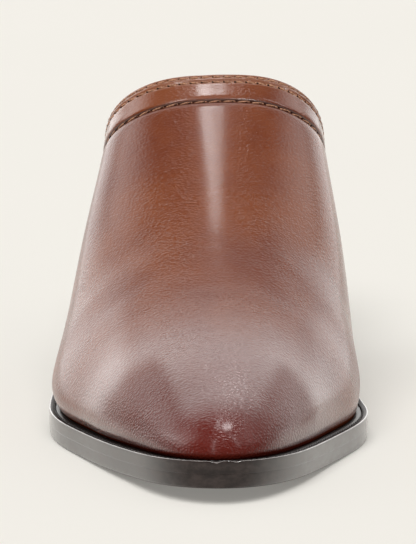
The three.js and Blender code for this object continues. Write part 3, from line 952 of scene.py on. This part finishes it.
class MULE_OT_lining(bpy.types.Operator):
    """Makes the vamp's lining with a rounded edge behind the collar band"""

    bl_idname = "mule.lining"
    bl_label = "Lining"

    def execute(self, context):
        turn, side = columns(60)
        front = np.linspace(0, 1, 80)[:, None] * angle_inside(turn, side, 8)[None]
        edge = np.stack([angle_inside(turn, side, row["inside"]) for row in LINING_EDGE])
        angle = np.concatenate([front, edge])
        turn, side = np.broadcast_arrays(turn[None], side[None])
        base, normal = last_point(angle, turn, side), last_normal(angle, turn, side)
        depth = np.array([[-1.4, -WALL]] * len(front) + [[r["outer"], r["inner"]] for r in LINING_EDGE])
        rise = base[..., 2] - level(base[..., 1] + SHOE_LENGTH / 2, SOLE_TOP)
        outer = soften_toe(base + normal * depth[:, 0, None, None], normal, rise)
        inner = soften_toe(base + normal * depth[:, 1, None, None], normal, rise)
        piece = wall("lining", outer, inner)
        finish_piece(piece, make_lining_leather(context.scene.mule_leather), "vamp_leather")
        return {"FINISHED"}


class MULE_OT_collar_band(bpy.types.Operator):
    """Makes the collar band, rolled over the rim, with two grooves for the rim stitches"""

    bl_idname = "mule.collar_band"
    bl_label = "Collar band"

    def execute(self, context):
        turn, side = columns(130)
        loops, inside = [], []
        for row in BAND_SECTION:
            angle = angle_inside(turn, side, row["inside"])
            normal = last_normal(angle, turn, side)
            loops.append(last_point(angle, turn, side) + normal * row["height"])
            inside.append(np.full(len(turn), row["inside"]))
        loops = on_floor_of_upper(np.stack(loops))
        loops, inside = np.swapaxes(loops, 0, 1), np.stack(inside, 1)
        piece = loop_sweep("collar_binding", loops, {"inside": inside}, merge=1e-6)
        leather = make_band_leather(context.scene.mule_leather)
        finish_piece(piece, leather, "band_leather", "collar_band")
        return {"FINISHED"}


class MULE_OT_collar_stitches(bpy.types.Operator):
    """Makes the two rows of rim stitches and the row of the lower seam, with their needle holes"""

    bl_idname = "mule.collar_stitches"
    bl_label = "Collar stitches"

    def execute(self, context):
        look, sizes = context.scene.mule_leather, context.scene.mule_stitches
        tree = rounded_row_tree("stitch_row")
        tan = make_thread("tan_thread", look.thread, look.thread_dark)
        hole = make_hole_shade(look)
        rows = (
            ("rim_stitches", 0.96, 1.2, sizes.rim_pitch, 0.86, 0.1, 3, 1.2),
            ("second_stitches", 2.38, 1.06, sizes.rim_pitch, 0.86, -0.1, 5, 1.1),
            ("seam_stitches", 7.62, 0.05, sizes.seam_pitch, 0.82, 0.1, 7, 0.9),
        )
        for name, inside, height, pitch, cover, slant, seed, weight in rows:
            path, ups = collar_path(inside, height)
            radius = sizes.thread_radius * weight
            stitch_row(
                name, tree, path, ups, tan, "band_leather", Pitch=pitch, Length=pitch * cover,
                Thread_Radius=radius, Rise=radius * 0.9, Sink=radius * 1.3, Slant=slant, Seed=seed,
            )
            middle = (path[1:] + path[:-1]) / 2
            shift = int(round(pitch / MM / 2 / np.linalg.norm(path[1] - path[0])))
            low, up = middle[shift:] - ups[shift + 1 :] * 0.12, ups[shift + 1 :]
            # Dark sunken pieces between the stitches are painted shade in the needle holes.
            stitch_row(
                name + "_holes", tree, low, up, hole, "band_leather", Pitch=pitch, Length=pitch * 0.2,
                Thread_Radius=radius * 0.95, Rise=0.0, Sink=0.0, Slant=0.0, Seed=seed,
            )
        return {"FINISHED"}


def toe_dent(across, station):
    """The ledge's corner is knocked in twice beside the toe tip; so is the sock's hidden tip over it."""
    knocks = 0.1 * np.exp(-(((across - 4.2) / 1.4) ** 2))
    for middle, depth, width in ((1.7, 0.42, 0.9), (6.8, 0.28, 0.8)):
        knocks -= depth * np.exp(-(((across - middle) / width) ** 2))
    return np.where(station < 6.0, knocks, 0.0)


def sole_layer(name, rows, inset_more=None):
    """A layer through the whole sole: its section runs from the bottom's middle out, up and back."""
    stops = [0, SPRING_RUN, TREAD_END, BREAST, SHOE_LENGTH]
    angles = np.unique(np.concatenate([np.linspace(0, math.pi, 300), angle_of(stops)]))
    halves = []
    for side in (1, -1):
        rim_across, rim_station, out_across, out_along = plan_point(side * angles)
        more = inset_more(angles, side) if inset_more else 0.0
        half = []
        for row in rows:
            inset = row["inset"] + more
            across, station = rim_across - out_across * inset, rim_station - out_along * inset
            at_corner = row["above"] > SOLE_TOP - 0.3 and row["inset"] < 0.5
            dent = toe_dent(across, station) if at_corner else 0.0
            half.append(place(across, station, level(station, row["above"]) + dent))
        halves.append(np.stack(half, 1))
    loop = np.concatenate([halves[0], halves[1][:, ::-1]], 1)
    insets = [row["inset"] for row in rows]
    marks = np.tile(np.array(insets + insets[::-1], float), (len(angles), 1))
    faces = grid_faces(len(angles), loop.shape[1], closed=True)
    return to_object(name, loop.reshape(-1, 3), faces, {"inset": marks}, 2e-6, recalculate=True)


MIDSOLE_SECTION = table(
    "inset above",
    (6, JOINT), (0.03, JOINT), (0.015, JOINT + 0.02), (0.005, JOINT + 0.1), (0.0, JOINT + 0.6),
    (0.0, SOLE_TOP - 1.4), (0.0, SOLE_TOP - 0.26), (0.04, SOLE_TOP - 0.1), (0.14, SOLE_TOP - 0.01),
    (0.3, SOLE_TOP), (0.44, SOLE_TOP - 0.06), (1.0, SOLE_TOP - 0.12), (1.25, SOLE_TOP - 0.28),
    (1.6, SOLE_TOP - 0.36), (1.95, SOLE_TOP - 0.28), (2.25, SOLE_TOP - 0.14),
    (3.0, SOLE_TOP - 0.12), (6, SOLE_TOP - 0.12),
)

OUTSOLE_SECTION = table(
    "inset above",
    (8, 0.0), (4.6, 0.0), (4.25, 0.16), (3.9, 0.0), (0.7, 0.0), (0.45, 0.06), (0.3, 0.22),
    (0.2, 0.6), (0.1, 1.4), (0.04, 2.4), (0.005, JOINT - 0.1), (0.015, JOINT - 0.02), (0.03, JOINT),
    (8, JOINT),
)


class MULE_OT_sole(bpy.types.Operator):
    """Makes the midsole with its stitched ledge and the outsole, both with waxed and brushed edges"""

    bl_idname = "mule.sole"
    bl_label = "Sole"

    def execute(self, context):
        look = context.scene.mule_leather
        wax, top, tread = make_edge_wax(look), make_ledge_wax(look), make_sole_leather(look)
        midsole = sole_layer("welted_midsole", MIDSOLE_SECTION)
        finish_piece(midsole, wax, "sole_edge", "midsole")
        midsole.data.materials.append(top)
        # The third material is the painted highlight on the ledge's outer corner.
        midsole.data.materials.append(make_corner_highlight(look))
        depth = [value.value for value in midsole.data.attributes["inset"].data]
        for face in midsole.data.polygons:
            near = min(depth[v] for v in face.vertices)
            if face.normal.z > 0.4 and near > 0.25:
                face.material_index = 1
            elif face.normal.z > 0.4:
                face.material_index = 2
        outsole = sole_layer("outsole_layer", OUTSOLE_SECTION)
        finish_piece(outsole, wax, "sole_edge", "outsole")
        outsole.data.materials.append(tread)
        for face in outsole.data.polygons:
            if face.normal.z < -0.6:
                face.material_index = 1
        return {"FINISHED"}


class MULE_OT_ledge_stitches(bpy.types.Operator):
    """Makes the welt stitches in the ledge's groove, from heel breast to heel breast"""

    bl_idname = "mule.ledge_stitches"
    bl_label = "Ledge stitches"

    def execute(self, context):
        look, sizes = context.scene.mule_leather, context.scene.mule_stitches
        thread = make_thread("ledge_thread", look.ledge_thread, look.ledge)
        end = float(angle_of(BREAST - 4))
        angle = np.linspace(-end, end, 900)
        inset = np.minimum(1.55, ledge(station_of(angle)) * 0.5)
        across, station, _, _ = plan_point(angle, inset)
        path = place(across, station, level(station, SOLE_TOP - 0.24))
        ups = np.tile([0.0, 0.0, 1.0], (len(path), 1))
        pitch = sizes.ledge_pitch
        stitch_row(
            "ledge_stitches", rounded_row_tree("ledge_row"), path, ups, thread, "sole_edge",
            Pitch=pitch, Length=pitch * 0.86, Thread_Radius=sizes.ledge_radius,
            Rise=sizes.ledge_radius, Sink=sizes.ledge_radius, Slant=0.12, Seed=11,
        )
        return {"FINISHED"}


SOCK_SECTION = table(
    "inset above",
    (6, SOLE_TOP), (0.15, SOLE_TOP), (0.02, SOLE_TOP + 0.2), (0.0, SOLE_TOP + 1.6),
    (0.12, SOLE_TOP + 1.75), (0.02, SOLE_TOP + 1.95), (0.05, SOLE_TOP + 2.9), (0.3, SOLE_TOP + 3.4),
    (0.8, SOLE_TOP + 3.7), (2.4, SOLE_TOP + 3.78), (6, SOLE_TOP + 3.6), (9, SOLE_TOP + 3.5),
)


def sock_inset(angles, side):
    """Inside the upper the sock meets the lining, and behind it reaches out to the seat margin."""
    station = station_of(angles)
    at = angle_of(np.minimum(station, COLLAR_END))
    foot = last_point(at, 0.0, side)
    low, high = np.zeros(len(angles)), np.full(len(angles), 0.5)
    for _ in range(20):
        middle = (low + high) / 2
        under = last_point(at, middle, side)[:, 2] - foot[:, 2] < INSOLE + 0.3
        low, high = np.where(under, middle, low), np.where(under, high, middle)
    over = last_point(at, low, side)
    _, _, out_across, out_along = plan_point(side * at)
    lean = (foot[:, 0] - over[:, 0]) * out_across + (foot[:, 1] - over[:, 1]) * out_along
    lean = np.maximum(0, lean)
    wall_width = WALL * np.hypot(1, lean / INSOLE)
    in_upper = ledge(station) + lean + wall_width
    return in_upper + (SEAT_MARGIN - in_upper) * ease(COLLAR_END + 0.3, COLLAR_END + FLARE_RUN, station)


class MULE_OT_sock(bpy.types.Operator):
    """Makes the insole board with its leather sock"""

    bl_idname = "mule.sock"
    bl_label = "Sock"

    def execute(self, context):
        piece = sole_layer("sock", SOCK_SECTION, sock_inset)
        finish_piece(piece, make_sock_leather(context.scene.mule_leather), "sock_leather", "insole")
        return {"FINISHED"}


def heel_outline():
    """The heel seat's outline from corner to corner round the back, closed by a hollow breast."""
    corner = float(angle_of(BREAST))
    angle = np.linspace(corner, 2 * math.pi - corner, 120)
    angle = np.where(angle > math.pi, angle - 2 * math.pi, angle)
    across, station, _, _ = plan_point(angle, HEEL_INSET)
    share = np.linspace(0, 1, 42)[1:-1]
    front_across = across[-1] + (across[0] - across[-1]) * share
    front = station[-1] + (station[0] - station[-1]) * share + BREAST_HOLLOW * np.sin(math.pi * share)
    middle = (across[0] + across[-1]) / 2
    return np.concatenate([across, front_across]), np.concatenate([station, front]), middle


def heel_ring(down, inset=0.0):
    """The seat's outline drawn in towards the heel's foot; down is 0 under the sole and 1 at the floor."""
    across, seat, middle = heel_outline()
    widest = np.abs(across - middle).max()
    drawn = down**HEEL_FLARE
    narrow = (1 - (HEEL_SIDE_TAPER + inset) / widest * drawn) * (1 - inset / widest)
    station = BREAST + (seat - BREAST) * (1 - HEEL_BACK_TAPER / HEEL_LENGTH * drawn)
    centre = station.mean()
    station = centre + (station - centre) * (1 - inset / (HEEL_LENGTH / 2))
    return middle + (across - middle) * narrow, station, seat


def stack(name, rings):
    """Rings of points, lowest first, closed by a fan below and above."""
    count = len(rings[0])
    points = np.concatenate(rings)
    faces = grid_faces(len(rings), count, closed=True)
    hubs = [rings[0].mean(0), rings[-1].mean(0)]
    last = (len(rings) - 1) * count
    for j in range(count):
        k = (j + 1) % count
        faces.append([len(points), k, j])
        faces.append([len(points) + 1, last + j, last + k])
    return to_object(name, np.concatenate([points, hubs]), faces, None, 1e-6, recalculate=True)


class MULE_OT_heel(bpy.types.Operator):
    """Makes the stacked heel, with a fine line between its layers, and its rubber lift"""

    bl_idname = "mule.heel"
    bl_label = "Heel"

    def execute(self, context):
        look = context.scene.mule_leather
        layers, line, foot = 8, 0.03, LIFT + 0.05
        rings = []
        for i in range(layers):
            low, high = i / layers, (i + 1) / layers
            steps = [(low, 0.1), (low + line, 0.0), ((low + high) / 2, -0.02), (high - line, 0.0)]
            steps.append((high, 0.1))
            for up, inset in steps[0 if i == 0 else 1 :]:
                across, station, seat = heel_ring(1 - up, inset)
                top = underside(seat) + 0.02
                rings.append(place(across, station, foot + (top - foot) * up))
        heel = stack("heel_stack", rings)
        finish_piece(heel, make_edge_wax(look, "stack_wax", 1.1), "heel_stack", "heel_block")
        shape = [(0.9, 0.0), (0.35, 0.12), (0.08, 0.5), (0.0, 1.2), (0.0, LIFT - 0.5), (0.14, LIFT + 0.04)]
        rings = []
        for inset, height in shape:
            across, station, _ = heel_ring(1.0, inset)
            rings.append(place(across, station, height))
        finish_piece(stack("heel_lift", rings), make_rubber(look), "lift_rubber", "top_lift")
        return {"FINISHED"}


class MULE_OT_stage(bpy.types.Operator):
    """Makes the pale floor, the white surround, the lights and the camera"""

    bl_idname = "mule.stage"
    bl_label = "Stage"

    def area(self, name, at, towards, width, length, power):
        """A lamp that shows in reflections alone."""
        data = bpy.data.lights.new(name, "AREA")
        data.shape, data.size, data.size_y, data.energy = "RECTANGLE", width, length, power
        lamp = bpy.data.objects.new(name, data)
        lamp.location = at
        away = Vector(at) - Vector(towards)
        lamp.rotation_euler = away.to_track_quat("Z", "Y").to_euler()
        lamp.visible_camera = lamp.visible_diffuse = False
        bpy.context.scene.collection.objects.link(lamp)
        return lamp

    def surround(self, context):
        """Reflections see a white field behind and one on each side, diffuse surfaces an even light."""
        world = bpy.data.worlds.new("surround")
        context.scene.world = world
        world.use_nodes = True
        tree = world.node_tree
        add = functools.partial(add_node, tree)

        def ramp(value, low, high, start, end):
            inputs = {"Value": value, "From Min": low, "From Max": high, "To Min": start, "To Max": end}
            return add("ShaderNodeMapRange", inputs, interpolation_type="SMOOTHSTEP").outputs[0]

        def maths(operation, a, b=0.0, c=0.0):
            return add("ShaderNodeMath", {0: a, 1: b, 2: c}, operation=operation).outputs[0]

        x, y, z = add("ShaderNodeSeparateXYZ", {0: add("ShaderNodeTexCoord").outputs["Generated"]}).outputs
        turned = maths("MULTIPLY_ADD", maths("ABSOLUTE", x), -0.28, y)
        behind = maths("MULTIPLY", ramp(turned, 0.2, 0.52, 0.05, 1.95), maths("MULTIPLY_ADD", x, -0.15, 1.0))
        beside = ramp(maths("ABSOLUTE", x), 0.42, 0.75, 0.0, 1.0)
        beside = maths("MULTIPLY", beside, ramp(z, 0.2, 0.45, 0.0, 1.0))
        band = maths("MULTIPLY", ramp(y, 0.35, 0.6, 1.0, 0.0), ramp(y, -0.35, -0.05, 0.0, 1.0))
        beside = maths("MULTIPLY", maths("MULTIPLY", beside, band), maths("MULTIPLY_ADD", x, -0.6, 2.2))
        seen = maths("ADD", behind, beside)
        diffuse = add("ShaderNodeLightPath").outputs["Is Diffuse Ray"]
        strength = add("ShaderNodeMix", {0: diffuse, 2: seen, 3: context.scene.mule_stage.ambient})
        shade = tree.nodes["Background"]
        shade.inputs["Color"].default_value = (1.0, 0.985, 0.965, 1.0)
        tree.links.new(strength.outputs[0], shade.inputs["Strength"])

    def execute(self, context):
        settings = context.scene.mule_stage
        self.surround(context)
        half = 6.0
        corners = [(-half, -half, 0), (half, -half, 0), (half, half, 0), (-half, half, 0)]
        mesh = bpy.data.meshes.new("floor")
        mesh.from_pydata(corners, [], [[0, 1, 2, 3]])
        floor = bpy.data.objects.new("floor", mesh)
        context.scene.collection.objects.link(floor)
        shader = Shader("pale_floor")
        clouds = shader.ramp(shader.noise(3, 2), 0.2, 0.8, 0.215, 0.225)
        tone = shader.mix(clouds, list(settings.floor_colour), (0.0, 0.0, 0.0, 1.0))
        mesh.materials.append(shader.finish(tone, 0.95))
        shader.surface.inputs["Emission Color"].default_value = settings.floor_colour
        shader.surface.inputs["Emission Strength"].default_value = 0.25
        shader.surface.inputs["Specular IOR Level"].default_value = 0.0
        strip = self.area("strip", (-0.02, 0.07, 1.25), (-0.02, 0.07, 0), 0.06, 0.44, settings.strip_power)
        strip.rotation_euler = (0, 0, 0)
        for degrees in (-14, 62):
            turn = math.radians(degrees)
            at = (1.3 * math.sin(turn), -0.12 - 1.3 * math.cos(turn), 1.3)
            self.area("front_strip", at, (0, -0.12, 0.02), 0.12, 1.3, settings.front_power)
        at, towards = (0.031, -0.113, 0.135), (0.0044, -0.1242, 0.0186)
        dot = self.area("toe_lamp", at, towards, 0.034, 0.034, settings.toe_power)
        dot.data.shape = "DISK"
        sun = bpy.data.lights.new("soft", "SUN")
        sun.energy, sun.angle = settings.key_power, math.radians(50)
        soft = bpy.data.objects.new("soft", sun)
        soft.rotation_euler = Vector((-0.1, -0.5, 0.86)).to_track_quat("Z", "Y").to_euler()
        soft.visible_glossy = False
        context.scene.collection.objects.link(soft)
        camera = bpy.data.cameras.new("camera")
        camera.sensor_fit = "VERTICAL"
        camera.sensor_height = 24
        focal_pixels, frame_height = 3712, 544
        camera.lens = camera.sensor_height * focal_pixels / frame_height
        eye = bpy.data.objects.new("camera", camera)
        context.scene.collection.objects.link(eye)
        target = Vector((0, -0.049, 0.045))
        tilt = math.radians(10)
        back = Vector((0, -math.cos(tilt), math.sin(tilt)))
        eye.location = target + back
        eye.rotation_euler = back.to_track_quat("Z", "Y").to_euler()
        context.scene.camera = eye
        context.scene.view_settings.view_transform = "Standard"
        return {"FINISHED"}


class MULE_PT_panel(bpy.types.Panel):
    """Lists the steps that make the mule"""

    bl_idname = "MULE_PT_panel"
    bl_label = "Mule shoe"
    bl_space_type = "VIEW_3D"
    bl_region_type = "UI"
    bl_category = "Mule"

    def draw(self, context):
        for step in STEPS:
            self.layout.operator(step.bl_idname)
        for group in (context.scene.mule_leather, context.scene.mule_stitches, context.scene.mule_stage):
            box = self.layout.box()
            for key in group.__annotations__:
                box.prop(group, key)


STEPS = (
    MULE_OT_vamp,
    MULE_OT_lining,
    MULE_OT_collar_band,
    MULE_OT_collar_stitches,
    MULE_OT_sole,
    MULE_OT_ledge_stitches,
    MULE_OT_sock,
    MULE_OT_heel,
    MULE_OT_stage,
)
GROUPS = {"mule_leather": MuleLeather, "mule_stitches": MuleStitches, "mule_stage": MuleStage}


def register():
    for kind in (*GROUPS.values(), *STEPS, MULE_PT_panel):
        bpy.utils.register_class(kind)
    for name, kind in GROUPS.items():
        setattr(bpy.types.Scene, name, bpy.props.PointerProperty(type=kind))


def unregister():
    for name in GROUPS:
        delattr(bpy.types.Scene, name)
    for kind in (MULE_PT_panel, *STEPS[::-1], *GROUPS.values()):
        bpy.utils.unregister_class(kind)


def main():
    register()
    for step in STEPS:
        name = step.bl_idname.split(".")[1]
        getattr(bpy.ops.mule, name)()
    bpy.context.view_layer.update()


if __name__ == "__main__":
    main()
